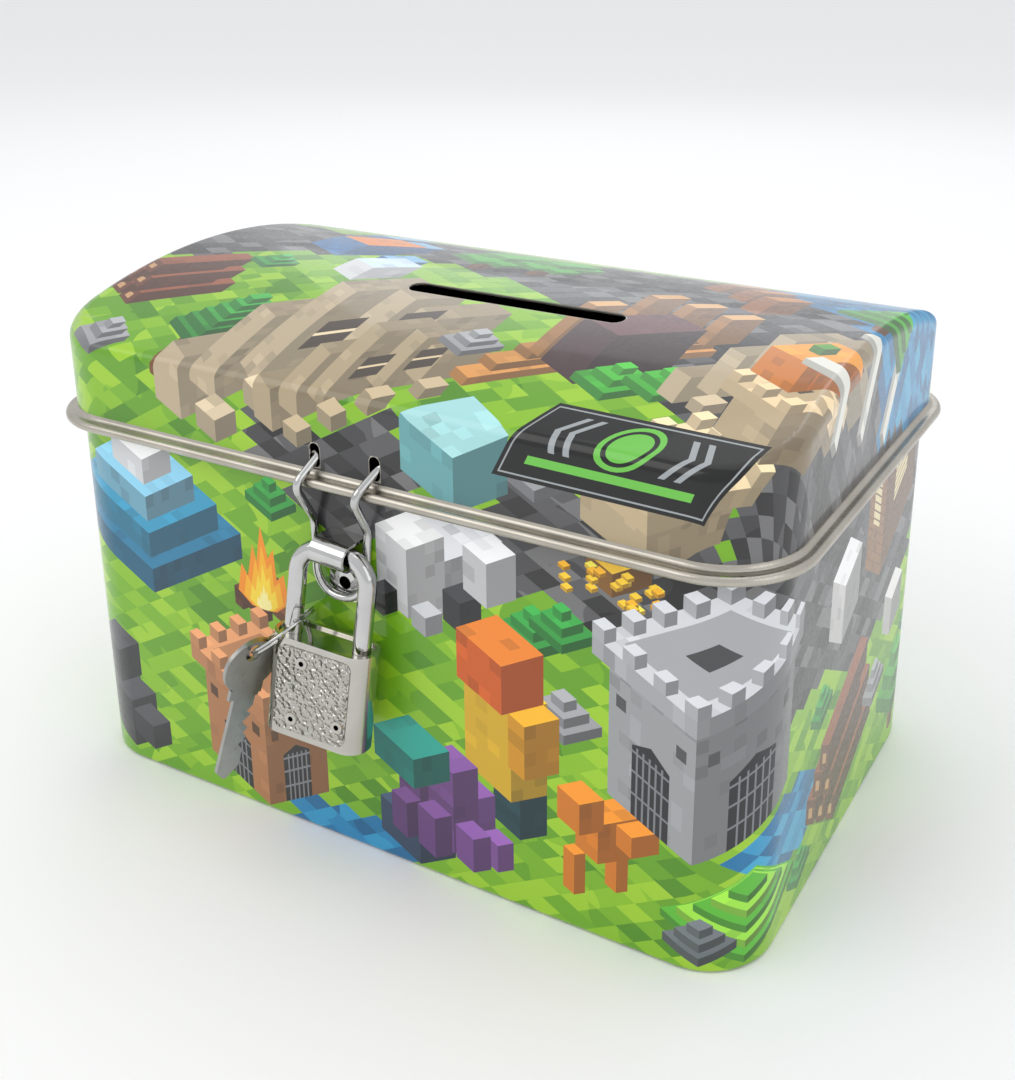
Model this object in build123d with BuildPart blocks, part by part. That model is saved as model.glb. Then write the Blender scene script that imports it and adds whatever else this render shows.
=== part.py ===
"""Domed tin money box with a wire hasp, a staple and a small padlock with two keys.

Frame: origin at the centre of the footprint, on the surface that the box stands on.
+X runs to the right along the front, +Y to the back, where the hinge is, and +Z up.
"""
import os
from math import cos, radians, sin

from build123d import *

# ---- box ----
body_w = 165.0          # outside width of the wall
body_d = 108.0          # outside depth of the wall
corner_r = 14.3         # outside corner radius of the wall
sheet = 0.35            # tinplate thickness
curl_z = 84.1           # centre of the wall's rolled top edge
curl_r = 0.8            # its outside radius
hem_w = 4.0             # width of the edge folded under the base
hem_bend = 1.0          # bend radius of that fold, at mid thickness
base_rise = 4.0         # height of the base plate's upturned edge
seam_x = 52.0           # side seam on the back wall
seam_w = 5.0

# ---- lid ----
lid_gap = 0.95          # from the wall's outside to the skirt's inside
crown_z = 112.6         # top of the dome
dome_r = 139.5          # radius of the dome, front to back
edge_r = 2.8            # rounding between the dome and the sides
skirt_z = 86.0          # where the plain skirt ends and the flare begins
rim_out = 3.0           # centre of the rolled rim, out from the wall
rim_z = 83.6            # height of that centre
rim_r = 1.0             # outside radius of the rolled rim
slot_x = (-15.3, 35.8)  # ends of the coin slot
slot_y = -13.9          # centre line of the coin slot
slot_w = 4.7

# ---- rear hinge ----
hinge_y = body_d / 2 + 1.6
hinge_z = rim_z
leaf_w = 40.0
knuckles = 5
knuckle_gap = 0.15
leaf_t = 0.6
pin_r = 0.6
barrel_bore = 0.65
barrel_r = 1.3
leaf_drop = 13.5        # length of the body leaf below the barrel
lid_leaf_top = 96.5
leaf_rivet_x = (-14.0, 0.0, 14.0)
leaf_rivet_r = 0.8
leaf_rivet_head = 1.8
rivet_play = 0.05

# ---- hasp wire ----
wire_r = 0.85
hasp_z = 88.8           # height of the wire's feet inside the lid
hasp_y = -body_d / 2 + 0.1
hasp_hole_x = (-9.5, 4.8)

# ---- staple ----
staple_w = 8.0
strip_t = 0.6
eye_r = 2.2             # inside radius of the eye
eye_slack = 0.45        # half of the eye's extra depth
staple_foot = 12.2      # from the lock's pivot down to the end of the foot
eyelet_drop = 8.2       # from the lock's pivot down to the eyelet
eyelet_r = 1.9
eyelet_bore = 1.4
eyelet_head = 3.0

# ---- padlock ----
pivot = Vector(-3.6, -58.5, 70.8)   # axis of the shackle's top bar
lean, pitch, yaw = 4.5, -6.0, 6.0   # how the lock hangs, in degrees
shackle_r = 1.85
shackle_half = 7.8      # half distance between the legs
shackle_bend = 5.8
bar_rise = 0.18         # top of the shackle's centre line above the pivot
case_w = 22.5
case_h = 21.0
case_t = 8.8
case_side_r = 4.2
case_wall = 0.8
case_top = -18.35       # top of the case below the pivot
end_plate_t = 0.8
lip = 0.5               # how far the jacket stands past its end plates
bore_play = 0.08
heel_end = 17.0         # heel leg's length inside the case
toe_end = 7.0           # toe leg's length inside the case
plate_w, plate_h, plate_t = 16.3, 18.0, 0.5
plate_corner = 1.8
lock_rivets_at = ((-2.4, 6.4), (-3.8, -6.1), (6.5, -4.6))
lock_rivet_r = 0.9
lock_rivet_bore = 0.55
lock_rivet_head = 1.35
plug_x = 2.6
plug_r = 2.5
plug_top = 5.6          # above the middle of the case
driver_r = 0.6
driver_arm = 1.85
latch_z = 7.1           # middle of the latch above the middle of the case
latch_h = 1.4
latch_t = 3.0
latch_reach = (2.4, 6.45)
channel_end = -1.2
notch_depth = 0.6
notch_span = (4.8, 7.95)

# ---- keys ----
ring_center = Vector(-14.15, -62.64, 52.87)
ring_out = Vector(-0.631, -0.559, -0.544)   # from the leg towards the keys, in the ring's plane
ring_side = Vector(0.456, -0.829, 0.323)    # along the ring where the keys hang
ring_r = 7.2            # centre line of the coiled wire
ring_wire_r = 0.28
ring_pitch = 0.6
ring_turns = 1.9
key_down = Vector(-0.24, -0.12, -0.963)     # the way the keys hang
key_face = Vector(0.93, -0.28, -0.2)        # square to their flat sides
key_turns = {"key_1": 5.0, "key_2": -13.0}  # place of each key round the ring, in degrees
key_t = 0.9
bow_r = 5.8
bow_drop = 3.3          # from the hole to the middle of the bow
key_hole_r = 1.85
blade_l = 21.5
blade_w = 4.4

wall_y = -body_d / 2    # the front wall's outside face
mid = -sheet / 2        # middle of the wall's thickness, out from its outside face
inside_h = 20.0         # more than any cut has to reach


def outline_path():
    """Closed rounded outline of the wall's foot, from the middle of the front."""
    half_w, half_d = body_w / 2, body_d / 2
    long_run, short_run = body_w - 2 * corner_r, body_d - 2 * corner_r
    with BuildLine() as outline:
        run = Line((0, -half_d), (long_run / 2, -half_d))
        for length in (short_run, long_run, short_run, long_run / 2):
            turn = JernArc(run @ 1, run % 1, corner_r, 90)
            run = Line(turn @ 1, (turn @ 1) + (turn % 1) * length)
    return outline.wires()[0]


def bent(start, steps):
    """Sheet section along a line: a number goes straight on, a pair is a bend's radius and angle."""
    here = Line(*start)
    for step in steps:
        if isinstance(step, tuple):
            here = JernArc(here @ 1, here % 1, *step)
        else:
            here = Line(here @ 1, (here @ 1) + (here % 1) * step)


def rolled(start, steps):
    """Sheet-metal ring: a bent section carried round the box. Its x is outward, its y is up."""
    across = Plane(origin=(0, wall_y, 0), x_dir=(0, -1, 0), z_dir=(-1, 0, 0))
    with BuildPart() as ring:
        with BuildSketch(across):
            with BuildLine():
                bent(start, steps)
            trace(line_width=sheet)
        sweep(path=outline_path())
    return ring.part


def dome(inset):
    """Solid under the lid's skin, drawn in from the outside by inset."""
    grow = lid_gap + sheet - inset
    with BuildPart() as block:
        with BuildSketch(Plane.XY.offset(skirt_z)):
            RectangleRounded(body_w + 2 * grow, body_d + 2 * grow, corner_r + grow)
        extrude(amount=crown_z - skirt_z)
        with BuildSketch(Plane.YZ):
            with Locations((0, crown_z - dome_r)):
                Circle(dome_r - inset)
        extrude(amount=body_w, both=True, mode=Mode.INTERSECT)
        fillet(block.faces().filter_by(GeomType.CYLINDER).sort_by(Axis.Z)[-1].edges(), edge_r - inset)
    return block.part


def turned(vector):
    """A direction in the padlock's own frame, as it hangs."""
    return vector.rotate(Axis.Z, yaw).rotate(Axis.X, pitch).rotate(Axis.Y, lean)


lock_right = turned(Vector(1, 0, 0))
lock_up = turned(Vector(0, 0, 1))
lock_out = turned(Vector(0, -1, 0))
case_mid = pivot + lock_up * (case_top - case_h / 2)
staple_right = Vector(1, 0, 0).rotate(Axis.Y, lean)
staple_up = Vector(0, 0, 1).rotate(Axis.Y, lean)


def facing(out):
    """Plane through the lock case seen from the front, at a distance out from its middle."""
    return Plane(origin=case_mid + lock_out * out, x_dir=lock_right, z_dir=lock_out)


def across_lock(height):
    """Plane square to the lock's height, measured from the middle of the case. Its y is to the back."""
    return Plane(origin=case_mid + lock_up * height, x_dir=lock_right, z_dir=lock_up)


def rivets(axis_planes, shank_r, length, head_r, head_t, bore_r=0.0):
    """Rivets through a stack that starts on each plane and is length deep behind it."""
    with BuildPart() as group:
        for plane in axis_planes:
            with BuildSketch(plane.offset(-length)):
                Circle(shank_r)
            extrude(amount=length)
            for depth in (-length, 0):
                with BuildSketch(plane.offset(depth)):
                    Circle(head_r)
                extrude(amount=head_t if depth == 0 else -head_t, taper=20)
        if bore_r:
            for plane in axis_planes:
                with BuildSketch(plane.offset(head_t)):
                    Circle(bore_r)
                extrude(amount=-length - 2 * head_t, mode=Mode.SUBTRACT)
    return group.part


# ---- planes and cutters shared by several pieces ----
body_rivet_z = hinge_z - leaf_drop / 2 - 1.5
lid_rivet_z = (skirt_z + lid_leaf_top) / 2 + 1.0
leaf_y = body_d / 2                          # the body leaf lies on the back wall
lid_leaf_y = body_d / 2 + lid_gap + sheet    # the lid leaf lies on the back of the skirt
body_rivet_planes = [
    Plane(origin=(x, leaf_y + leaf_t, body_rivet_z), x_dir=(-1, 0, 0), z_dir=(0, 1, 0))
    for x in leaf_rivet_x
]
lid_rivet_planes = [
    Plane(origin=(x, lid_leaf_y + leaf_t, lid_rivet_z), x_dir=(-1, 0, 0), z_dir=(0, 1, 0))
    for x in leaf_rivet_x
]
eyelet_at = pivot - staple_up * eyelet_drop
foot_face = wall_y - strip_t
eyelet_plane = Plane(origin=(eyelet_at.X, foot_face, eyelet_at.Z), x_dir=(1, 0, 0), z_dir=(0, -1, 0))


def drill(planes, radius, depth):
    """Round holes straight down from each plane."""
    for plane in planes:
        with BuildSketch(plane) as spot:
            Circle(radius)
        extrude(spot.sketch, amount=-depth, mode=Mode.SUBTRACT)


# ---- box: wall and base ----
curl_mid_r = curl_r - sheet / 2
with BuildPart() as body_wall:
    add(rolled(((-hem_w, sheet / 2), (mid - hem_bend, sheet / 2)),
               ((hem_bend, 90), curl_z - sheet / 2 - hem_bend, (curl_mid_r, -300))))
    with BuildSketch(Plane.XZ.offset(-body_d / 2)):
        with Locations((seam_x, (curl_z + hem_bend) / 2)):
            Rectangle(seam_w, curl_z - 4 * hem_bend)
    extrude(amount=-sheet)
    with BuildSketch(Plane.XY.offset(hinge_z - barrel_r - 0.3)):
        with Locations((0, body_d / 2)):
            Rectangle(leaf_w + 4, 4 * curl_r)
    extrude(amount=inside_h, mode=Mode.SUBTRACT)
    drill([p.offset(-leaf_t + 0.01) for p in body_rivet_planes], leaf_rivet_r + rivet_play, 2 * sheet)
    drill([eyelet_plane], eyelet_r + rivet_play, 2 * strip_t + sheet)
    with BuildSketch(Plane(origin=pivot + staple_up * (eye_r + strip_t / 2), x_dir=staple_right,
                           z_dir=staple_up)):
        with Locations((0, wall_y - pivot.Y)):
            Rectangle(staple_w + 0.4, 2.0)
    extrude(amount=strip_t / 2 + 0.1, both=True, mode=Mode.SUBTRACT)
body_wall.part.label = "body_wall"

inner_w, inner_d, inner_r = body_w - 2 * sheet, body_d - 2 * sheet, corner_r - sheet
base_gap = 0.05
panel_inset = hem_w + 0.5
with BuildPart() as base_plate:
    with BuildSketch(Plane.XY.offset(sheet + base_gap)):
        RectangleRounded(inner_w - 2 * base_gap, inner_d - 2 * base_gap, inner_r - base_gap)
    extrude(amount=base_rise)
    fillet(base_plate.faces().sort_by(Axis.Z)[0].edges(), hem_bend)
    with BuildSketch():
        RectangleRounded(body_w - 2 * panel_inset, body_d - 2 * panel_inset, corner_r - panel_inset)
    extrude(amount=2 * sheet)
    with BuildSketch(Plane.XY.offset(2 * sheet + base_gap)):
        RectangleRounded(inner_w - 2 * (base_gap + sheet), inner_d - 2 * (base_gap + sheet),
                         inner_r - base_gap - sheet)
    extrude(amount=base_rise, mode=Mode.SUBTRACT)
    with BuildSketch(Plane.XY.offset(sheet)):
        RectangleRounded(body_w - 2 * panel_inset - 2 * sheet, body_d - 2 * panel_inset - 2 * sheet,
                         corner_r - panel_inset - sheet)
    extrude(amount=base_rise, mode=Mode.SUBTRACT)
base_plate.part.label = "base_plate"

# ---- lid ----
skirt_mid = lid_gap + sheet / 2
rim_mid_r = rim_r - sheet / 2
flare_r = 1.2
flare_top = rim_z + rim_mid_r + flare_r
hasp_slot_w, hasp_slot_h = 2.5, 5.0
hasp_slots_at = ((-9.85, 88.7), (4.36, 88.7))
with BuildPart() as lid_shell:
    add(dome(0))
    add(dome(sheet), mode=Mode.SUBTRACT)
    add(rolled(((skirt_mid, skirt_z), (skirt_mid, flare_top)),
               ((flare_r, 90), rim_out - skirt_mid - flare_r, (rim_mid_r, -300))))
    with BuildSketch(Plane.XY.offset(crown_z + 1)):
        with Locations((sum(slot_x) / 2, slot_y)):
            SlotOverall(slot_x[1] - slot_x[0], slot_w)
    extrude(amount=-inside_h / 2, mode=Mode.SUBTRACT)
    with BuildSketch(Plane.XZ.offset(body_d / 2)):
        with Locations(*hasp_slots_at):
            SlotOverall(hasp_slot_h, hasp_slot_w, rotation=90)
    extrude(amount=4, mode=Mode.SUBTRACT)
    with BuildSketch(Plane.XY.offset(hinge_z - 2)):
        with Locations((0, body_d / 2 + 3)):
            Rectangle(leaf_w + 4, 5)
    extrude(amount=skirt_z - hinge_z + 2, mode=Mode.SUBTRACT)
    drill([p.offset(-leaf_t + 0.01) for p in lid_rivet_planes], leaf_rivet_r + rivet_play, 2 * sheet)
lid_shell.part.label = "lid_shell"


# ---- rear hinge ----
def knuckle_plane(x):
    """Side view of the barrel, at x: its x is to the back and its y is up."""
    return Plane(origin=(x, hinge_y, hinge_z), x_dir=(0, 1, 0), z_dir=(1, 0, 0))


def hinge_leaf(turns, plate_y, plate_z, rivet_planes):
    """Leaf plate with its share of the barrel. turns numbers its knuckles from the left."""
    width = leaf_w / knuckles
    low, high = plate_z
    end = high if high < hinge_z else low
    with BuildPart() as leaf:
        with BuildSketch(Plane.XZ.offset(-plate_y)):
            with Locations((0, (low + high) / 2)):
                RectangleRounded(leaf_w, high - low, 1.5)
        extrude(amount=-leaf_t)
        for turn in turns:
            left = -leaf_w / 2 + turn * width + knuckle_gap / 2
            overlap = 2.0 if end < hinge_z else -2.0
            with BuildSketch(knuckle_plane(left)):
                Circle(barrel_r)
                with Locations((plate_y + leaf_t / 2 - hinge_y, (end - overlap - hinge_z) / 2)):
                    Rectangle(leaf_t, abs(end - overlap - hinge_z))
                Circle(barrel_bore, mode=Mode.SUBTRACT)
            extrude(amount=width - knuckle_gap)
        drill([p.offset(0.01) for p in rivet_planes], leaf_rivet_r + rivet_play, 2 * leaf_t)
    return leaf.part


with BuildPart() as hinge_leaf_body:
    add(hinge_leaf((1, 3), leaf_y, (hinge_z - leaf_drop, hinge_z - barrel_r - 0.6), body_rivet_planes))
hinge_leaf_body.part.label = "hinge_leaf_body"

with BuildPart() as hinge_leaf_lid:
    add(hinge_leaf((0, 2, 4), lid_leaf_y, (skirt_z + 0.8, lid_leaf_top), lid_rivet_planes))
hinge_leaf_lid.part.label = "hinge_leaf_lid"

with BuildPart() as hinge_pin:
    with BuildSketch(knuckle_plane(-leaf_w / 2 - 0.1)):
        Circle(pin_r)
    extrude(amount=leaf_w + 0.2)
    for x, deep in ((-leaf_w / 2 - 0.1, -0.6), (leaf_w / 2 + 0.1, 0.6)):
        with BuildSketch(knuckle_plane(x)):
            Circle(pin_r + 0.35)
        extrude(amount=deep)
hinge_pin.part.label = "hinge_pin"

stack = leaf_t + sheet
with BuildPart() as hinge_rivets_body:
    add(rivets(body_rivet_planes, leaf_rivet_r, stack, leaf_rivet_head, 0.6))
hinge_rivets_body.part.label = "hinge_rivets_body"

with BuildPart() as hinge_rivets_lid:
    add(rivets(lid_rivet_planes, leaf_rivet_r, stack, leaf_rivet_head, 0.6))
hinge_rivets_lid.part.label = "hinge_rivets_lid"

# ---- hasp wire: feet inside the lid, over the rim, down along the wall to a round end ----
rim_cross_y = wall_y - 6.1
wire_y = wall_y - 1.1
hasp_bottom = (59.9, wall_y - 2.05)
left_leg, right_leg = -10.7, 1.45
left_run = [
    (hasp_hole_x[0] - 4.5, hasp_y, hasp_z), (hasp_hole_x[0], hasp_y, hasp_z),
    (-11.3, rim_cross_y, 83.8), (-11.0, wire_y, 75.0), (left_leg, wire_y - 0.1, 68.5),
]
right_run = [
    (right_leg, wire_y - 0.1, 68.5), (1.9, wire_y, 75.0), (2.5, rim_cross_y, 83.8),
    (hasp_hole_x[1], hasp_y, hasp_z), (hasp_hole_x[1] + 4.5, hasp_y, hasp_z),
]
round_end = [(left_leg, hasp_bottom[1], hasp_bottom[0]), (right_leg, hasp_bottom[1], hasp_bottom[0])]
wire_bends = [1.1, 2.4, 4.0, 8.0, 5.7, 5.7, 8.0, 4.0, 2.4, 1.1]
with BuildPart() as hasp_loop:
    with BuildLine() as wire:
        FilletPolyline(*left_run, *round_end, *right_run, radius=wire_bends)
    foot = left_run[0]
    with BuildSketch(Plane(origin=foot, x_dir=(0, 1, 0), z_dir=(1, 0, 0))):
        Circle(wire_r)
    sweep(path=wire.wires()[0])
hasp_loop.part.label = "hasp_loop"

# ---- staple: a strip hooked in the wall, round the shackle, and down to its eyelet ----
to_wall = wall_y - pivot.Y          # from the pivot back to the wall
strip_mid = eye_r + strip_t / 2
inner_tab = to_wall + sheet + strip_t / 2 + 0.05
foot_mid = to_wall - strip_t / 2
with BuildPart() as staple:
    with BuildSketch(Plane(origin=pivot, x_dir=(0, -1, 0), z_dir=-staple_right)):
        with BuildLine():
            bent(((-inner_tab, -1.5), (-inner_tab, strip_mid - 0.6)),
                 ((0.6, -90), eye_slack + inner_tab - 0.6, (strip_mid, -180),
                  eye_slack + foot_mid - 0.6, (0.6, 90), staple_foot - strip_mid - 0.6))
        trace(line_width=strip_t)
    extrude(amount=staple_w / 2, both=True)
    foot_corners = staple.edges().filter_by(Axis.Y).group_by(Axis.Z)[0]
    fillet(foot_corners, 2.5)
    drill([eyelet_plane.offset(0.01)], eyelet_r + rivet_play, 2 * strip_t)
staple.part.label = "staple"

with BuildPart() as staple_rivet:
    add(rivets([eyelet_plane], eyelet_r, strip_t + sheet, eyelet_head, 0.45, eyelet_bore))
staple_rivet.part.label = "staple_rivet"

# ---- padlock ----
leg_top = bar_rise - shackle_bend                # where the legs leave the bends, below the pivot
case_half = case_h / 2
heel_foot = case_top - heel_end
toe_foot = case_top - toe_end
lock_front = Plane(origin=pivot, x_dir=lock_right, z_dir=lock_out)
with BuildPart() as shackle:
    with BuildLine(lock_front) as bow:
        FilletPolyline((-shackle_half, heel_foot), (-shackle_half, bar_rise),
                       (shackle_half, bar_rise), (shackle_half, toe_foot), radius=shackle_bend)
    with BuildSketch(Plane(origin=bow.wires()[0] @ 0, x_dir=lock_right, z_dir=lock_up)):
        Circle(shackle_r)
    sweep(path=bow.wires()[0])
    notch_mid = case_top - case_half + sum(notch_span) / 2
    with BuildSketch(lock_front):
        with Locations((shackle_half - shackle_r - 1 + notch_depth, notch_mid)):
            Rectangle(2, notch_span[1] - notch_span[0])
    extrude(amount=2 * shackle_r, both=True, mode=Mode.SUBTRACT)
shackle.part.label = "shackle"

lock_rivet_planes = [
    Plane(origin=facing(case_t / 2 + plate_t).from_local_coords((x, y)), x_dir=lock_right, z_dir=lock_out)
    for x, y in lock_rivets_at
]
through = case_t + 2 * plate_t
inner_half = case_half - lip - end_plate_t      # half height of the core
with BuildPart() as lock_case:
    with BuildSketch(across_lock(-case_half)):
        RectangleRounded(case_w, case_t, case_side_r)
        offset(amount=-case_wall, mode=Mode.SUBTRACT)
    extrude(amount=case_h)
    drill(lock_rivet_planes, lock_rivet_r + rivet_play, through)
lock_case.part.label = "lock_case"


def cored(height, deep):
    """Block that fills the case's section, from a height above its middle, deep thick."""
    with BuildPart() as block:
        with BuildSketch(across_lock(height)):
            RectangleRounded(case_w - 2 * case_wall - 0.04, case_t - 2 * case_wall - 0.04,
                             case_side_r - case_wall - 0.02)
        extrude(amount=-deep)
    return block.part


with BuildPart() as lock_top:
    add(cored(inner_half + end_plate_t, end_plate_t))
    with BuildSketch(across_lock(inner_half + end_plate_t)):
        with Locations((-shackle_half, 0), (shackle_half, 0)):
            Circle(shackle_r + bore_play)
    extrude(amount=-end_plate_t, mode=Mode.SUBTRACT)
lock_top.part.label = "lock_top"

with BuildPart() as lock_bottom:
    add(cored(-inner_half, end_plate_t))
    with BuildSketch(across_lock(-inner_half)):
        with Locations((plug_x, 0)):
            Circle(plug_r + bore_play)
    extrude(amount=-end_plate_t, mode=Mode.SUBTRACT)
lock_bottom.part.label = "lock_bottom"

spring_room = 2.6
channel_h = latch_h + 0.1
with BuildPart() as lock_core:
    add(cored(inner_half, 2 * inner_half))
    with BuildSketch(across_lock(inner_half)):
        with Locations((-shackle_half, 0)):
            Circle(shackle_r + bore_play)
    extrude(amount=heel_foot - spring_room - case_top + case_half - inner_half, mode=Mode.SUBTRACT)
    with BuildSketch(across_lock(inner_half)):
        with Locations((shackle_half, 0)):
            Circle(shackle_r + bore_play)
    extrude(amount=case_half - toe_end - 0.2 - inner_half, mode=Mode.SUBTRACT)
    with BuildSketch(across_lock(-inner_half)):
        with Locations((plug_x, 0)):
            Circle(plug_r + bore_play)
    extrude(amount=inner_half + latch_z + latch_h / 2 + 0.1, mode=Mode.SUBTRACT)
    with BuildSketch(across_lock(latch_z - channel_h / 2)):
        with Locations(((channel_end + shackle_half) / 2, 0)):
            Rectangle(shackle_half - channel_end, latch_t + 0.1)
    extrude(amount=channel_h, mode=Mode.SUBTRACT)
    drill(lock_rivet_planes, lock_rivet_r + rivet_play, through)
lock_core.part.label = "lock_core"


def plate(out):
    """Raised face plate on one side of the case, its inner face at a distance out from the middle."""
    with BuildPart() as panel:
        with BuildSketch(facing(out)):
            RectangleRounded(plate_w, plate_h, plate_corner)
        extrude(amount=plate_t)
        chamfer(panel.faces().sort_by(Axis(case_mid, lock_out))[-1 if out > 0 else 0].edges(), 0.2)
        drill(lock_rivet_planes, lock_rivet_r + rivet_play, through)
    return panel.part


with BuildPart() as lock_front_plate:
    add(plate(case_t / 2))
lock_front_plate.part.label = "lock_front_plate"

with BuildPart() as lock_back_plate:
    add(plate(-case_t / 2 - plate_t))
lock_back_plate.part.label = "lock_back_plate"

with BuildPart() as lock_rivets:
    add(rivets(lock_rivet_planes, lock_rivet_r, through, lock_rivet_head, 0.3, lock_rivet_bore))
lock_rivets.part.label = "lock_rivets"

keyway_w, keyway_h, keyway_deep = 1.1, 3.6, 11.0
plug_foot = -inner_half - end_plate_t - 0.2
driver_at = (driver_arm * cos(radians(45)), driver_arm * sin(radians(45)))
with BuildPart() as key_plug:
    with BuildSketch(across_lock(plug_foot)):
        with Locations((plug_x, 0)):
            Circle(plug_r)
            Rectangle(keyway_w, keyway_h, mode=Mode.SUBTRACT)
    extrude(amount=keyway_deep)
    with BuildSketch(across_lock(plug_foot + keyway_deep)):
        with Locations((plug_x, 0)):
            Circle(plug_r)
    extrude(amount=plug_top - plug_foot - keyway_deep)
    with BuildSketch(across_lock(plug_top)):
        with Locations((plug_x + driver_at[0], driver_at[1])):
            Circle(driver_r)
    extrude(amount=latch_z + latch_h / 2 - 0.1 - plug_top)
key_plug.part.label = "key_plug"

fork_play = 0.12
with BuildPart() as latch:
    with BuildSketch(across_lock(latch_z - latch_h / 2)):
        with Locations((sum(latch_reach) / 2, 0)):
            Rectangle(latch_reach[1] - latch_reach[0], latch_t)
        with Locations((plug_x + driver_at[0], latch_t / 2)):
            Rectangle(2 * (driver_r + fork_play), latch_t, mode=Mode.SUBTRACT)
    extrude(amount=latch_h)
latch.part.label = "latch"


def coil(start, radius, wire_radius, turns, length):
    """Round-wire spring of a number of turns, standing on a plane."""
    with BuildPart() as spring:
        with BuildLine() as line:
            Helix(length / turns, length, radius, center=start.origin, direction=start.z_dir)
        wire_line = line.wires()[0]
        with BuildSketch(Plane(origin=wire_line @ 0, z_dir=wire_line % 0)):
            Circle(wire_radius)
        sweep(path=wire_line)
    return spring.part


heel_spring_at = across_lock(heel_foot - spring_room - case_top + case_half + 0.25)
with BuildPart() as shackle_spring:
    add(coil(Plane(origin=heel_spring_at.from_local_coords((-shackle_half, 0)),
                   x_dir=lock_right, z_dir=lock_up), 1.35, 0.2, 3.5, spring_room - 0.5))
shackle_spring.part.label = "shackle_spring"

with BuildPart() as latch_spring:
    add(coil(Plane(origin=across_lock(latch_z).from_local_coords((channel_end + 0.2, 0)),
                   x_dir=lock_out, z_dir=lock_right), 0.5, 0.14, 5, latch_reach[0] - channel_end - 0.4))
latch_spring.part.label = "latch_spring"

# ---- split ring and keys ----
ring_flat = ring_out.cross(ring_side)
with BuildPart() as split_ring:
    add(coil(Plane(origin=ring_center - ring_flat * (ring_pitch * ring_turns / 2),
                   x_dir=ring_side, z_dir=ring_flat),
             ring_r, ring_wire_r, ring_turns, ring_pitch * ring_turns))
split_ring.part.label = "split_ring"


def key(name, cuts):
    """Flat key hung on the ring by its hole. cuts are the depths of the notches, from the bow down."""
    turn = radians(key_turns[name])
    at = ring_center + (ring_out * cos(turn) + ring_side * sin(turn)) * ring_r
    width_dir = key_face.cross(key_down)
    shoulder = -bow_drop - bow_r + 0.8
    tip = -bow_drop - bow_r - blade_l
    with BuildPart() as blank:
        with BuildSketch(Plane(origin=at, x_dir=width_dir, z_dir=key_face)):
            with Locations((0, -bow_drop)):
                Circle(bow_r)
            with Locations((0, (shoulder + tip) / 2)):
                Rectangle(blade_w, shoulder - tip)
            with Locations((0, shoulder - 1.2)):
                Rectangle(blade_w + 2.4, 2.4)
            for number, depth in enumerate(cuts):
                with Locations((blade_w / 2, shoulder - 6.5 - number * 2.8)):
                    RegularPolygon(depth, 4, mode=Mode.SUBTRACT)
            with Locations((blade_w / 2, tip), (-blade_w / 2, tip)):
                RegularPolygon(1.9, 4, mode=Mode.SUBTRACT)
            Circle(key_hole_r, mode=Mode.SUBTRACT)
        extrude(amount=key_t / 2, both=True)
    return blank.part


with BuildPart() as key_1:
    add(key("key_1", (1.2, 1.7, 0.9, 1.5)))
key_1.part.label = "key_1"

with BuildPart() as key_2:
    add(key("key_2", (1.2, 1.7, 0.9, 1.5)))
key_2.part.label = "key_2"

pieces = [
    body_wall, base_plate, lid_shell, hinge_leaf_body, hinge_leaf_lid, hinge_pin,
    hinge_rivets_body, hinge_rivets_lid, hasp_loop, staple, staple_rivet, shackle,
    lock_case, lock_top, lock_bottom, lock_core, lock_front_plate, lock_back_plate, lock_rivets,
    key_plug, latch, latch_spring, shackle_spring, split_ring, key_1, key_2,
]
os.makedirs("parts", exist_ok=True)
for piece in pieces:
    export_step(piece.part, f"parts/{piece.part.label}.step")
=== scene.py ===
import bmesh
import bpy
import random
from math import atan2, copysign, cos, hypot, pi, sin, sqrt
from mathutils import Matrix, Vector, geometry


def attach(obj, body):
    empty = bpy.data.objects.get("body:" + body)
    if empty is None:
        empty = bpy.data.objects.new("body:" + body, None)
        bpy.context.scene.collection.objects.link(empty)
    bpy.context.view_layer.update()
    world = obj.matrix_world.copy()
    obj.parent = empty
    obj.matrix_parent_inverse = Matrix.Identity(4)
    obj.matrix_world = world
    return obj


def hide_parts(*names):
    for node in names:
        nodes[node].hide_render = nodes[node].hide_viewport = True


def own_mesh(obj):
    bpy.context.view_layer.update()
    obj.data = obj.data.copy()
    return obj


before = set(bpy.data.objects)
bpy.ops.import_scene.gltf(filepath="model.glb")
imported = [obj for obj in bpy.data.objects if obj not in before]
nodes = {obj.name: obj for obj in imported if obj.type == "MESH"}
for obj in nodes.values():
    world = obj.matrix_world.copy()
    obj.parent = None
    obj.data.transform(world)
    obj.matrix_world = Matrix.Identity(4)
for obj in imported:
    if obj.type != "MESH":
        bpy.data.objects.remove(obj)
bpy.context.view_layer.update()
mm = 0.001


def tint(code):
    parts = [int(code[i:i + 2], 16) / 255 for i in (1, 3, 5)]
    return tuple(c / 12.92 if c <= 0.04045 else ((c + 0.055) / 1.055) ** 2.4 for c in parts) + (1.0,)


def shade(code, factor):
    parts = [int(code[i:i + 2], 16) for i in (1, 3, 5)]
    return "#" + "".join("%02X" % max(0, min(255, round(c * factor))) for c in parts)


def add(tree, kind, sets=None, links=None):
    made = tree.nodes.new(kind)
    for key, value in (sets or {}).items():
        if isinstance(key, int) or key in made.inputs:
            made.inputs[key].default_value = value
        else:
            setattr(made, key, value)
    for key, source in (links or {}).items():
        tree.links.new(source, made.inputs[key])
    return made


def blank(name):
    mat = bpy.data.materials.new(name)
    mat.use_nodes = True
    mat.node_tree.nodes.clear()
    return mat, mat.node_tree


def finishWith(tree, shader):
    add(tree, "ShaderNodeOutputMaterial", links={"Surface": shader.outputs[0]})


def put(name, data):
    obj = bpy.data.objects.new(name, data)
    bpy.context.scene.collection.objects.link(obj)
    return obj


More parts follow.
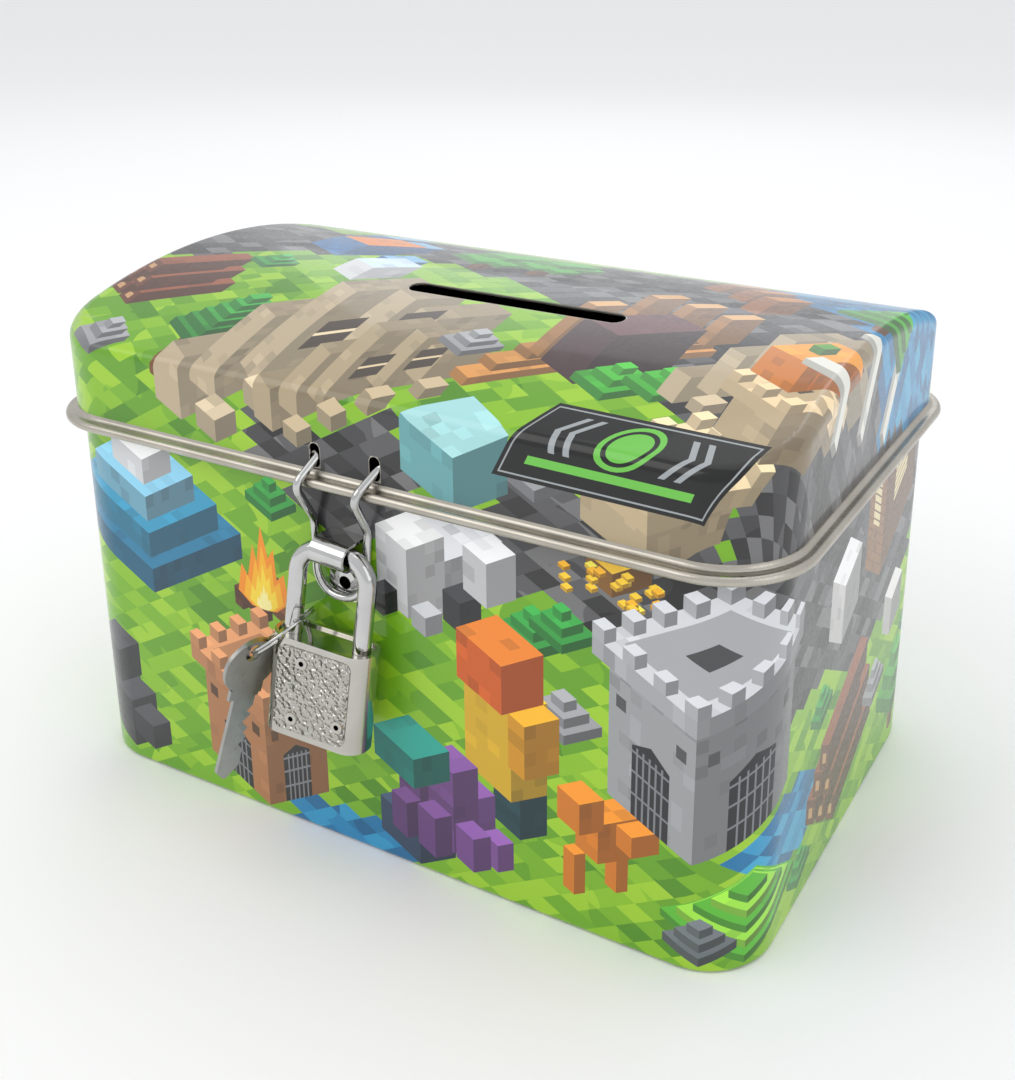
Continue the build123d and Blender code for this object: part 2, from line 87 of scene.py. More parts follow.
# camera, lights, floor: place and shift in metres and frame widths, angles in radians
camera = {"place": (0.148817, -0.245282, 0.189285), "turn": 0.503, "tilt": 0.329, "roll": 0.005,
          "lens": 45.393, "shift": (-0.0497, -0.1577)}


def placeCamera(c):
    data = bpy.data.cameras.new("camera")
    data.sensor_width, data.lens = 36, c["lens"]
    data.shift_x, data.shift_y = c["shift"]
    data.clip_start, data.clip_end = 0.01, 20
    back = Vector((sin(c["turn"]) * cos(c["tilt"]), -cos(c["turn"]) * cos(c["tilt"]), sin(c["tilt"])))
    right = Vector((0, 0, 1)).cross(back).normalized()
    up = back.cross(right)
    cr, sr = cos(c["roll"]), sin(c["roll"])
    right, up = right * cr + up * sr, up * cr - right * sr
    obj = put("camera", data)
    turn = Matrix((right, up, back)).transposed().to_4x4()
    obj.matrix_world = Matrix.Translation(c["place"]) @ turn
    bpy.context.scene.camera = obj


placeCamera(camera)

# place, what it points at, width, height, watts, colour
lamps = {
    "keyPanel": ((-0.55, -0.75, 0.85), (0, 0, 0.05), 0.9, 0.7, 2.9, "#FFFDF8"),
    "endPanel": ((0.95, -0.25, 0.45), (0.05, 0, 0.05), 0.6, 0.7, 0.9, "#FFFFFF"),
    "topPanel": ((0.05, 0.15, 1.1), (0, 0, 0.1), 1.0, 0.8, 1.6, "#FFFFFF"),
    "backPanel": ((-0.35, 0.85, 0.6), (0, 0, 0.1), 0.8, 0.5, 0.8, "#F6FAFF"),
}
for name, (place, aim, width, height, watts, colour) in lamps.items():
    data = bpy.data.lights.new(name, "AREA")
    data.shape, data.size, data.size_y, data.energy = "RECTANGLE", width, height, watts
    data.color = tint(colour)[:3]
    lamp = put(name, data)
    lamp.location = place
    lamp.rotation_euler = (Vector(aim) - Vector(place)).to_track_quat("-Z", "Y").to_euler()

world = bpy.data.worlds.new("studio")
world.use_nodes = True
world.node_tree.nodes["Background"].inputs["Color"].default_value = tint("#F7F8FA")
world.node_tree.nodes["Background"].inputs["Strength"].default_value = 0.88
bpy.context.scene.world = world
bpy.context.scene.view_settings.view_transform = "Standard"

floorMesh = bpy.data.meshes.new("floor")
floorMesh.from_pydata([(-4, -4, 0), (4, -4, 0), (4, 4, 0), (-4, 4, 0)], [], [(0, 1, 2, 3)])
floor = put("floor", floorMesh)
paper, paperTree = blank("matteWhitePaperSweep")   # soft and shadow-catching, with no shine
finishWith(paperTree, add(paperTree, "ShaderNodeBsdfPrincipled",
                          {"Base Color": tint("#FAFAFA"), "Roughness": 0.9}))
floorMesh.materials.append(paper)
print("camera, lights and floor are set")


# metal finishes
def plainMetal(name, colour, dark, rough, brushed=0.0, grainMm=0.35, bump=0.0, bumpMm=1.0, stretch=(1, 1, 1)):
    mat, tree = blank(name)
    coord = add(tree, "ShaderNodeTexCoord").outputs["Object"]
    grainMap = add(tree, "ShaderNodeMapping", {"Scale": tuple(s / (grainMm * mm) for s in stretch)},
                   {"Vector": coord})
    grain = add(tree, "ShaderNodeTexNoise", {"Scale": 1.0, "Detail": 4.0, "Roughness": 0.6},
                {"Vector": grainMap.outputs[0]})
    cloud = add(tree, "ShaderNodeTexNoise", {"Scale": 1 / (9 * mm), "Detail": 3.0}, {"Vector": coord})
    mix = add(tree, "ShaderNodeMix", {"data_type": "RGBA", 6: tint(dark), 7: tint(colour)},
              {0: cloud.outputs["Fac"]})
    worn = add(tree, "ShaderNodeMapRange",
               {"From Min": 0.3, "From Max": 0.7, "To Min": rough * 0.75, "To Max": rough * 1.35},
               {"Value": grain.outputs["Fac"]})
    links = {"Base Color": mix.outputs[2], "Roughness": worn.outputs[0]}
    if bump or brushed:
        lump = add(tree, "ShaderNodeTexVoronoi", {"Scale": 1 / (bumpMm * mm), "feature": "SMOOTH_F1"},
                   {"Vector": coord})
        height = lump.outputs["Distance"] if bump else grain.outputs["Fac"]
        raised = add(tree, "ShaderNodeBump",
                     {"Strength": 1.0 if bump else brushed, "Distance": (bump or 0.01) * mm},
                     {"Height": height})
        links["Normal"] = raised.outputs[0]
    finishWith(tree, add(tree, "ShaderNodeBsdfPrincipled", {"Metallic": 1.0}, links))
    return mat


finishes = {
    # rolled and tinned steel: warm grey, a soft sheen, faint rolling lines along the front
    "tinplate": plainMetal("rolledTinplateBare", "#C9C4BA", "#A39D92", 0.30, 0.25, 0.5, stretch=(0.05, 1, 1)),
    # bright chrome on drawn wire and strip: almost a mirror, with a few dull specks
    "chrome": plainMetal("chromePlatedDrawnSteel", "#D6D6D5", "#B2B2B1", 0.08),
    # nickel on the folded case: mirror-like, slightly warmer than chrome
    "case": plainMetal("nickelPlatedPressedSteel", "#D2D0CA", "#ADAAA3", 0.11),
    # the face plates are struck with small hollows, so they glint in grains
    "hammered": plainMetal("hammeredNickelPlatedSteel", "#D2D0CA", "#A6A39C", 0.17, bump=1.1, bumpMm=0.8),
    # die-cast core: dull grey with a wide soft shine, so it sits back inside the case
    "zinc": plainMetal("dieCastZincRaw", "#9C9DA0", "#7E7F83", 0.42),
    # turned plug and latch: the one warm yellow in the lock, with fine tool lines
    "brass": plainMetal("turnedBrassPlug", "#D6B45E", "#B08C3C", 0.25, 0.3, 0.2, stretch=(1, 1, 0.1)),
    # tempered springs: darker steel than the rest, half bright
    "spring": plainMetal("blueTemperedSpringWire", "#8C8E93", "#65676C", 0.28),
    # stamped keys: dull nickel with fine tumbling scratches
    "key": plainMetal("stampedNickelPlatedKeySteel", "#B9B9B5", "#8F8F8C", 0.34, 0.35, 0.3,
                      stretch=(1, 1, 0.15)),
    # hinge wire and rivets: bare drawn steel, greyer and softer than chrome
    "wire": plainMetal("drawnSteelWire", "#B5B6B8", "#8D8E90", 0.26),
}
wears = {
    "tinplate": ("body_wall", "base_plate", "lid_shell", "hinge_leaf_body", "hinge_leaf_lid"),
    "chrome": ("shackle", "hasp_loop", "staple", "staple_rivet"),
    "case": ("lock_case", "lock_top", "lock_bottom", "lock_rivets"),
    "hammered": ("lock_front_plate", "lock_back_plate"),
    "zinc": ("lock_core",),
    "brass": ("key_plug", "latch"),
    "spring": ("latch_spring", "shackle_spring"),
    "key": ("key_1", "key_2"),
    "wire": ("hinge_pin", "hinge_rivets_body", "hinge_rivets_lid", "split_ring"),
}
for look, members in wears.items():
    for member in members:
        mesh = nodes[member].data
        mesh.materials.clear()
        mesh.materials.append(finishes[look])
print("metal finishes are on the frame")


# split ring: spring wire wound round nearly twice, in mm
ringShape = {
    "center": (-14.15, -62.64, 52.87),
    "out": (-0.631, -0.559, -0.544),     # from the shackle towards the keys
    "side": (0.456, -0.829, 0.323),      # across the ring
    "radius": 7.2, "wire": 0.28,         # wire is half its thickness
    "length": 1.14, "turns": 1.9,
}


def geometryPiece(name, inputs, build, place, body, replaced):
    group = bpy.data.node_groups.new(name, "GeometryNodeTree")
    group.interface.new_socket("Geometry", in_out="OUTPUT", socket_type="NodeSocketGeometry")
    sockets = {key: group.interface.new_socket(key, in_out="INPUT", socket_type=kind)
               for key, kind, _ in inputs}
    entry = group.nodes.new("NodeGroupInput")
    shape = build(group, entry.outputs)
    whole = add(group, "GeometryNodeRealizeInstances", links={0: shape})
    dressed = add(group, "GeometryNodeSetMaterial",
                  links={"Geometry": whole.outputs[0], "Material": entry.outputs["Finish"]})
    leave = group.nodes.new("NodeGroupOutput")
    group.links.new(dressed.outputs[0], leave.inputs[0])
    carrier = put(name + "Maker", bpy.data.meshes.new(name + "Maker"))
    modifier = carrier.modifiers.new("shape", "NODES")
    modifier.node_group = group
    for key, _, value in inputs:
        modifier[sockets[key].identifier] = value
    made = bpy.data.meshes.new_from_object(carrier.evaluated_get(bpy.context.evaluated_depsgraph_get()))
    bpy.data.objects.remove(carrier)
    made.transform(place)
    made.polygons.foreach_set("use_smooth", [True] * len(made.polygons))
    obj = put(name, made)
    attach(obj, body)
    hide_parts(*replaced)
    print(name, "has", len(made.polygons), "faces")


def coilShape(group, given):
    line = add(group, "GeometryNodeCurveSpiral", {"Resolution": 72},
               {"Rotations": given["Turns"], "Start Radius": given["Radius"], "End Radius": given["Radius"],
                "Height": given["Length"]})
    wire = add(group, "GeometryNodeCurvePrimitiveCircle", {"Resolution": 14}, {"Radius": given["Wire"]})
    return add(group, "GeometryNodeCurveToMesh", {"Fill Caps": True},
               {"Curve": line.outputs[0], "Profile Curve": wire.outputs[0]}).outputs[0]


def ringPlace(r):
    out, side = Vector(r["out"]).normalized(), Vector(r["side"]).normalized()
    flat = out.cross(side).normalized()
    start = (Vector(r["center"]) - flat * r["length"] / 2) * mm
    return Matrix.Translation(start) @ Matrix((side, flat.cross(side), flat)).transposed().to_4x4()


geometryPiece("splitRing", [("Radius", "NodeSocketFloat", ringShape["radius"] * mm),
                            ("Wire", "NodeSocketFloat", ringShape["wire"] * mm),
                            ("Length", "NodeSocketFloat", ringShape["length"] * mm),
                            ("Turns", "NodeSocketFloat", ringShape["turns"]),
                            ("Finish", "NodeSocketMaterial", finishes["chrome"])],
              coilShape, ringPlace(ringShape), "ring", ["split_ring"])


# the latch's spring is pressed flat by the latch, so it stands on its own as a separate part
springLook = {
    "node": "latch_spring", "body": "lock", "joint": "latch_slide", "slot": "spring_steel",
    "axis": (0.990599, 0.103956, -0.088921),     # along the spring, towards the latch
    "long": 3.2,                                 # length at rest, mm
    "keep": 0.18,                                # share of that length left when the latch is drawn
}


def shorteningSpring(look):
    work = bmesh.new()
    work.from_mesh(nodes[look["node"]].data)
    bmesh.ops.remove_doubles(work, verts=work.verts, dist=1e-6)
    made = bpy.data.meshes.new("latchSpring")
    work.to_mesh(made)
    work.free()
    made.materials.append(finishes["spring"])
    obj = put("latchSpring", made)
    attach(obj, look["body"])
    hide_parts(look["node"])
    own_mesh(obj)


shorteningSpring(springLook)
print("latch spring is on its own")

# printed ink: glossy litho varnish over coloured block scenery
printLook = {
    "tile": (8.0, 4.5),      # width and height of a ground tile, mm
    "grass": ("#4F8C17", "#64A01C", "#76B01F", "#88BD22", "#9CCB2C", "#6CA81D"),
    "stone": ("#1F1F20", "#303031", "#414143", "#59595B", "#737374", "#4A4A4C"),
    "water": ("#14628F", "#1B74A6", "#2385B8", "#2F97C6", "#1E6A99", "#3AA5CF"),
    "chance": 0.72,          # how far a tile's tone is left to chance
    "drift": (0.9, -0.3),    # how far it follows a slow drift from light to dark, and where that starts
    "skin": 0.06,            # ink and varnish, drawn thicker than it is so that it stands clear of the tin
    "gap": 0.012,            # between the tin and the back of the ink
}


def printMaterial(look):
    mat, tree = blank("lithoPrintedTinplateVarnished")   # flat bright inks under a hard clear gloss
    uv = add(tree, "ShaderNodeUVMap", {"uv_map": "print"}).outputs[0]
    w, h = look["tile"]
    along = [add(tree, "ShaderNodeVectorMath", {"operation": "DOT_PRODUCT", 1: (1 / w, k / h, 0)},
                 {0: uv}).outputs["Value"] for k in (1, -1)]
    cell = add(tree, "ShaderNodeCombineXYZ", links={0: along[0], 1: along[1]})
    whole = add(tree, "ShaderNodeVectorMath", {"operation": "FLOOR"}, {0: cell.outputs[0]})
    chance = add(tree, "ShaderNodeTexWhiteNoise", {"noise_dimensions": "2D"}, {"Vector": whole.outputs[0]})
    drift = add(tree, "ShaderNodeTexNoise", {"Scale": 0.035, "Detail": 1.0}, {"Vector": uv})
    level = add(tree, "ShaderNodeMath", {"operation": "MULTIPLY_ADD", 1: look["chance"]},
                {0: chance.outputs["Value"]})
    lean = add(tree, "ShaderNodeMath",
               {"operation": "MULTIPLY_ADD", 1: look["drift"][0], 2: look["drift"][1]},
               {0: drift.outputs["Fac"]})
    tree.links.new(lean.outputs[0], level.inputs[2])
    kind = add(tree, "ShaderNodeAttribute", {"attribute_name": "ground"}).outputs["Fac"]
    colour = add(tree, "ShaderNodeAttribute", {"attribute_name": "ink"}).outputs["Color"]
    for number, name in enumerate(("grass", "stone", "water")):
        ramp = add(tree, "ShaderNodeValToRGB", links={0: level.outputs[0]})
        ramp.color_ramp.interpolation = "CONSTANT"
        tones = look[name]
        for i, code in enumerate(tones):
            stop = ramp.color_ramp.elements[i] if i < 2 else ramp.color_ramp.elements.new(i / len(tones))
            stop.position, stop.color = i / len(tones), tint(code)
        chosen = add(tree, "ShaderNodeMath", {"operation": "COMPARE", 1: number + 1.0, 2: 0.3}, {0: kind})
        colour = add(tree, "ShaderNodeMix", {"data_type": "RGBA"},
                     {0: chosen.outputs[0], 6: colour, 7: ramp.outputs[0]}).outputs[2]
    peel = add(tree, "ShaderNodeTexNoise", {"Scale": 0.35, "Detail": 2.0}, {"Vector": uv})   # orange peel
    lumpy = add(tree, "ShaderNodeBump", {"Strength": 0.12, "Distance": 0.05 * mm},
                {"Height": peel.outputs["Fac"]})
    rub = add(tree, "ShaderNodeTexNoise", {"Scale": 0.9, "Detail": 6.0}, {"Vector": uv})
    rough = add(tree, "ShaderNodeMapRange",
                {"From Min": 0.35, "From Max": 0.75, "To Min": 0.28, "To Max": 0.42},
                {"Value": rub.outputs["Fac"]})
    finishWith(tree, add(tree, "ShaderNodeBsdfPrincipled",
                         {"Coat Weight": 0.55, "Coat Roughness": 0.07, "IOR": 1.5,
                          "Specular IOR Level": 0.25},
                         {"Base Color": colour, "Roughness": rough.outputs[0], "Normal": lumpy.outputs[0]}))
    return mat


inked = printMaterial(printLook)

# drawing on the flat sheet: every shape is a polygon in print millimetres, later ones on top
art = []
grounds = {"grass": 1.0, "stone": 2.0, "water": 3.0}
unit = (4.0, 2.25, 4.6)      # one block: half its width, half its depth as drawn, and its height
blockTones = {"right": 0.66, "left": 0.86, "top": 1.14}
mottling = {"square": 2.4, "share": 0.2, "tones": (0.9, 0.95, 1.06)}     # small squares of a near tone, mm
mottle = random.Random(31)


def patch(points, ink):
    art.append(([Vector(p) for p in points], ink))


def slab(p, a, b, ink):
    patch((p, p + a, p + a + b, p + b), ink)


def face(p, a, b, ink):
    slab(p, a, b, ink)
    across, down = int(a.length / mottling["square"]), int(b.length / mottling["square"])
    for i in range(across if down else 0):
        for j in range(down):
            if mottle.random() < mottling["share"] and across * down > 3:
                slab(p + a * (i / across) + b * (j / down), a / across, b / down,
                     shade(ink, mottle.choice(mottling["tones"])))


def footing(way, span):      # along a block's foot, way 1 to the right and -1 to the left
    return Vector((way * unit[0] * span, unit[1] * span))


def box(x, y, w, d, h, ink, top=None):
    a, b = footing(1, w), footing(-1, d)
    p, up = Vector((x, y)), Vector((0, unit[2] * h))
    face(p, a, up, shade(ink, blockTones["right"]))
    face(p, up, b, shade(ink, blockTones["left"]))
    face(p + up, a, b, top or shade(ink, blockTones["top"]))


def corner(x, y, w, d, h):      # w blocks along the right foot, d along the left foot, h up
    return x + unit[0] * (w - d), y + unit[1] * (w + d) + unit[2] * h


def pyramid(x, y, size, step, inks, rise=1.0):
    for i, ink in enumerate(inks):
        w = size - 2 * step * i
        if w <= 0:
            break
        box(x, y + 2 * unit[1] * step * i + unit[2] * rise * i, w, w, rise, ink)


def bush(x, y, size=1.0, ink="#2E8B3A"):
    pyramid(x, y, 1.5 * size, 0.27 * size, (ink, shade(ink, 1.1), shade(ink, 1.2)), 0.36 * size)


def tallTree(x, y, size=1.0, ink="#3E8F2E"):
    box(x, y, 0.35 * size, 0.35 * size, 1.4 * size, "#8A5A33")
    leaves = [shade(ink, 1 + 0.09 * i) for i in range(4)]
    pyramid(x, y + 3.2 * size, 2.6 * size, 0.42 * size, leaves, 0.62 * size)


def wideTree(x, y, size=1.0, ink="#46A33A"):
    box(x, y, 0.5 * size, 0.5 * size, 1.2 * size, "#7A4E2C")
    for dx, dy, s in ((-4, 5, 1.2), (4, 6, 1.3), (0, 8, 1.7), (-2, 3.4, 1.0), (3, 3, 0.9)):
        box(x + dx * size, y + dy * size, s * size, s * size, 0.55 * s * size, shade(ink, 0.85 + 0.12 * s))


def rock(x, y, size=1.0, ink="#8C8D90"):
    pyramid(x, y, 2.0 * size, 0.33 * size, (ink, shade(ink, 1.08), shade(ink, 1.16)), 0.45 * size)


def logs(x, y, size=1.0, ink="#7B4630"):
    for row, count in enumerate((3, 2, 1)):
        for i in range(count):
            gx, gy = corner(x, y, 0, (i + 0.5 * row) * 1.0 * size, row * 0.8 * size)
            box(gx, gy, 3.4 * size, 0.85 * size, 0.75 * size, ink, shade(ink, 1.25))
            patch([(gx - 1.0 * size, gy + 1.5 * size), (gx - 2.4 * size, gy + 2.2 * size),
                   (gx - 2.4 * size, gy + 3.6 * size), (gx - 1.0 * size, gy + 2.9 * size)], "#C79A6B")


def fire(x, y, size=1.0):
    box(x - 6 * size, y + 1.5 * size, 3.0 * size, 0.5 * size, 0.5 * size, "#6B4028")
    box(x + 6 * size, y + 0.5 * size, 0.5 * size, 3.0 * size, 0.5 * size, "#7B4A2E")
    box(x, y, 0.5 * size, 2.0 * size, 0.5 * size, "#5C3421")
    tongue = [(-0.62, 0.2), (-0.5, 0.62), (-0.36, 0.45), (-0.2, 0.95), (-0.12, 0.7), (0.02, 1.25),
              (0.16, 0.8), (0.3, 0.95), (0.34, 0.5), (0.52, 0.62), (0.6, 0.2), (0.3, 0.02), (-0.3, 0.02)]
    for scale, ink in ((1.0, "#F3901D"), (0.78, "#F8B41F"), (0.55, "#FBD83A"), (0.3, "#FFF2A0")):
        patch([(x + 11 * scale * a * size, y + 3 * size + 15.5 * scale * b * size) for a, b in tongue], ink)


def turret(x, y, w, d, h, ink, teeth=1.0, gates=True):
    box(x, y, w, d, h, ink)
    lip, thick, tooth = 0.45, 0.8, 0.6      # how far the top stands out, its thickness, and a tooth's size
    fullW, fullD = w + 2 * lip, d + 2 * lip
    px, py = x, y - 2 * unit[1] * lip + unit[2] * h
    box(px, py, fullW, fullD, thick, shade(ink, 1.06), shade(ink, 1.2))
    a, b = footing(1, 1), footing(-1, 1)
    p = Vector((px, py + 2 * unit[1] * thick + unit[2] * thick))
    floorW, floorD = fullW - 2 * thick, fullD - 2 * thick
    slab(p, a * floorW, b * floorD, shade(ink, 0.94))
    hatch = p + a * (floorW * 0.35) + b * (floorD * 0.35)
    slab(hatch, a * floorW * 0.3, b * floorD * 0.3, shade(ink, 0.4))
    for side in ("far", "near"):
        for axis, size in ((0, fullW), (1, fullD)):
            count = max(2, int(size / (1.5 * teeth)))
            for i in range(count, -1, -1):
                along = (size - tooth) * i / count
                if axis == 0:
                    cx, cy = corner(px, py, along, fullD - tooth if side == "far" else 0, thick)
                else:
                    cx, cy = corner(px, py, fullW - tooth if side == "far" else 0, along, thick)
                box(cx, cy, tooth, tooth, tooth, shade(ink, 1.1))
    if gates:
        for way, span in ((1, w), (-1, d)):
            g = Vector((x + way * unit[0] * span * 0.28, y + unit[1] * span * 0.28))
            run = footing(way, 1) * span * 0.44
            up = Vector((0, unit[2] * h * 0.52))
            patch((g, g + run, g + run + up, g + run * 0.5 + up * 1.16, g + up), "#2A2B2E")
            for k in range(1, 6):
                slab(g + run * (k / 6), run.normalized() * 0.45, up, "#7C7E83")
            for k in (0.3, 0.62, 0.9):
                slab(g + up * k, run, Vector((0, 0.5)), "#7C7E83")
            for k in (0.1, 0.8):
                loophole = Vector((x + way * unit[0] * span * k, y + unit[1] * span * k + unit[2] * h * 0.7))
                slab(loophole, footing(way, 1) * 0.5, Vector((0, 2.6)), shade(ink, 0.45))


def ruin(x, y, size, ink="#D9C6A4"):
    for w0, w1, h in ((0, 1.2, 1.4), (1.2, 2.4, 2.6), (2.4, 4.2, 3.6), (4.2, 5.4, 2.8), (5.4, 7.0, 1.5)):
        gx, gy = corner(x, y, w0 * size, 0, 0)
        box(gx, gy, (w1 - w0) * size, 0.8 * size, h * size, ink, shade(ink, 0.75))
    for k in (2.75, 4.45):
        g = Vector(corner(x, y, k * size, 0, 0.9 * size))
        run, up = footing(1, 1) * 0.9 * size, Vector((0, unit[2] * 1.1 * size))
        slab(g, run, up, "#4A4038")
        patch((g + up * 0.45, g + run + up * 0.45, g + run + up * 0.56, g + up * 0.56), shade(ink, 1.1))
    for k in range(4):
        gx, gy = corner(x, y, (k * 1.6 + 0.2) * size, -0.9 * size, 0)
        box(gx, gy, 0.7 * size, 0.6 * size, 0.5 * size, shade(ink, 0.9))


def cabin(x, y, w, d, h, ink="#A8743F"):
    box(x, y, w, d, h, ink, "#6B4023")
    for k in range(1, int(h * 2)):
        for way, span, dark in ((1, w, 0.5), (-1, d, 0.68)):
            slab(Vector((x, y + unit[2] * k / 2)), footing(way, span), Vector((0, 0.35)), shade(ink, dark))
    for way, span in ((1, w), (-1, d)):
        g = Vector((x + way * unit[0] * span * 0.3, y + unit[1] * span * 0.3 + unit[2] * h * 0.42))
        run, up = footing(way, 1) * span * 0.4, Vector((0, unit[2] * h * 0.4))
        slab(g, run, up, "#EAD9A8")
        for k in range(5):
            slab(g + up * (0.1 + 0.18 * k), run, Vector((0, 0.4)), "#6B4A2A")


def hoard(x, y, size=1.0):
    rng = random.Random(5)
    box(x, y + 1.2, 1.9 * size, 1.3 * size, 1.0 * size, "#9A6A2E", "#F4C433")
    for i in range(26):
        cx, cy = x + rng.uniform(-10, 10) * size, y + rng.uniform(-1.5, 5.5) * size
        box(cx, cy, 0.32, 0.32, 0.16, rng.choice(("#F2B92A", "#E9A61C", "#FAD34A")))


def crystals(x, y, size=1.0, ink="#8D5AA8"):
    for dx, dy, w, h in ((8, 5.5, 0.9, 2.2), (-4, 4.5, 1.1, 3.1), (12, 2, 0.8, 1.2), (3, 2.5, 1.3, 3.6),
                         (-7, 2, 0.8, 1.6), (7, 0, 0.9, 1.5), (-1, 0, 0.9, 1.8)):
        gx, gy = x + dx * size, y + dy * size
        box(gx, gy, w * size, w * size, h * size, shade(ink, 0.85 + 0.05 * dx / 4))


def planks(x, y, size, ink="#C58A4A"):
    for k, (dx, dy, w) in enumerate(((0, 0, 6.5), (2, 3.5, 5.8), (5, 7, 5.0))):
        box(x + dx * size, y + dy * size, w * size, 0.7 * size, 0.35 * size, shade(ink, 1 - 0.08 * k))
    for dx, dy, h in ((6, 8, 3.4), (12, 11, 4.2), (18, 14, 3.2), (24, 17, 2.0)):
        box(x + dx * size, y + dy * size, 0.9 * size, 0.5 * size, h * size, shade(ink, 0.94), "#E2B074")
    box(x + 13 * size, y + 4 * size, 2.4 * size, 1.6 * size, 2.6 * size, "#4A2F33", "#6B474B")


def gourd(x, y, size=1.0):
    box(x, y, 1.4 * size, 1.2 * size, 1.25 * size, "#EE8A1D", "#F6A43A")
    for k in (0.35, 0.7, 1.05):
        g = Vector((x + unit[0] * k * size, y + unit[1] * k * size))
        patch((g, g + Vector((0.35, 0.2)), g + Vector((0.35, 0.2 + unit[2] * 1.25 * size)),
               g + Vector((0, unit[2] * 1.25 * size))), "#B9610F")
    gx, gy = corner(x, y, 0.5 * size, 0.45 * size, 1.25 * size)
    box(gx, gy, 0.35 * size, 0.35 * size, 0.35 * size, "#4B8A2C")


def inside(x, y, points):      # counts the sides that a line to the right crosses
    hits = False
    for (x0, y0), (x1, y1) in zip(points, points[1:] + points[:1]):
        if (y0 > y) != (y1 > y) and x < x0 + (y - y0) * (x1 - x0) / (y1 - y0):
            hits = not hits
    return hits


def area(kind, points):
    w, h = printLook["tile"]     # ground changes from one whole tile to the next
    xs, ys = [p[0] for p in points], [p[1] for p in points]
    for across in range(round(min(xs) * 2 / w), round(max(xs) * 2 / w) + 1):
        for rise in range(round(min(ys) * 2 / h), round(max(ys) * 2 / h) + 1):
            x, y = across * w / 2, rise * h / 2
            if (across + rise) % 2 and inside(x, y, points):
                patch([(x - w / 2, y), (x, y - h / 2), (x + w / 2, y), (x, y + h / 2)], kind)


# from flat sheet to tin: the CAD's outer sizes, mm
wallShape = {
    "halfW": 82.5, "halfD": 54.0, "r": 14.3,     # half width and depth, and the corners' radius
    "hem": 1.175,                                # radius of the folded foot
    "top": 83.0, "low": 0.1,                     # the print's upper and lower edge, along the sheet
    "seamFrom": 49.3, "seamTo": 54.7,            # the bare side seam at the back, past the left corner
}
lidShape = {
    "halfW": 83.8, "halfD": 55.3, "r": 15.6,
    "edge": 2.8,                                 # radius where the crown turns down into the skirt
    "crown": 112.6, "domeR": 139.5,              # height of the crown and radius of its arch
    "foot": 85.75,                               # height where the print stops above the rolled rim
}


def wallRuns():      # lengths from the middle of the front: front, corner, end, corner, back
    s = wallShape
    half, bend = s["halfW"] - s["r"], pi / 2 * s["r"]
    return [half, bend, 2 * (s["halfD"] - s["r"]), bend, half]


def onWall(x, y):
    s = wallShape
    runs = wallRuns()
    side, a = (1 if x >= 0 else -1), abs(x)
    i = 0
    while i < 4 and a > runs[i]:
        a -= runs[i]
        i += 1
    ix, iy, r = s["halfW"] - s["r"], s["halfD"] - s["r"], s["r"]
    t = a / r
    spot, out = (
        ((a, -s["halfD"]), (0, -1)),
        ((ix + r * sin(t), -iy - r * cos(t)), (sin(t), -cos(t))),
        ((s["halfW"], -iy + a), (1, 0)),
        ((ix + r * cos(t), iy + r * sin(t)), (cos(t), sin(t))),
        ((ix - a, s["halfD"]), (0, 1)),
    )[i]
    p = Vector((side * spot[0], spot[1], max(y, s["hem"])))
    n = Vector((side * out[0], out[1], 0))
    if y < s["hem"]:
        bend = (s["hem"] - y) / s["hem"]
        p -= n * s["hem"] * (1 - cos(bend))
        p.z = s["hem"] * (1 - sin(bend))
        n = (n * cos(bend) + Vector((0, 0, -sin(bend)))).normalized()
    return p, n


def lidRing(x, y):      # how far a point is past the flat of the crown, which way, and from where
    s = lidShape
    hw, hd, r = s["halfW"] - s["edge"], s["halfD"] - s["edge"], s["r"] - s["edge"]
    qx, qy = abs(x) - (hw - r), abs(y) - (hd - r)
    if qx > 0 and qy > 0:
        far = hypot(qx, qy)
        out = (qx / far, qy / far)
        d, near = far - r, (hw - r + out[0] * r, hd - r + out[1] * r)
    elif qx > qy:
        d, out, near = qx - r, (1, 0), (hw, abs(y))
    else:
        d, out, near = qy - r, (0, 1), (abs(x), hd)
    sx, sy = copysign(1, x), copysign(1, y)
    return d, Vector((out[0] * sx, out[1] * sy)), Vector((near[0] * sx, near[1] * sy))


def onLid(x, y):
    s = lidShape
    d, out, near = lidRing(x, y)
    if d <= 0:
        rise = sqrt(s["domeR"] ** 2 - y * y)
        return Vector((x, y, s["crown"] - s["domeR"] + rise)), Vector((0, y, rise)).normalized()
    rise = sqrt(s["domeR"] ** 2 - near.y ** 2)
    slope = atan2(abs(near.y), rise) * abs(out.y)
    bent = s["edge"] * (pi / 2 - slope)      # how much of the sheet the bend takes
    t = slope + min(d, bent) / s["edge"]
    grow = (sin(t) - sin(slope)) / (1 - sin(slope)) * s["edge"]
    z = s["crown"] - s["domeR"] + rise - s["edge"] * (cos(slope) - cos(t)) - max(0.0, d - bent)
    n = Vector((out.x * sin(t), out.y * sin(t), cos(t)))
    return Vector((near.x + out.x * grow, near.y + out.y * grow, z)), n.normalized()


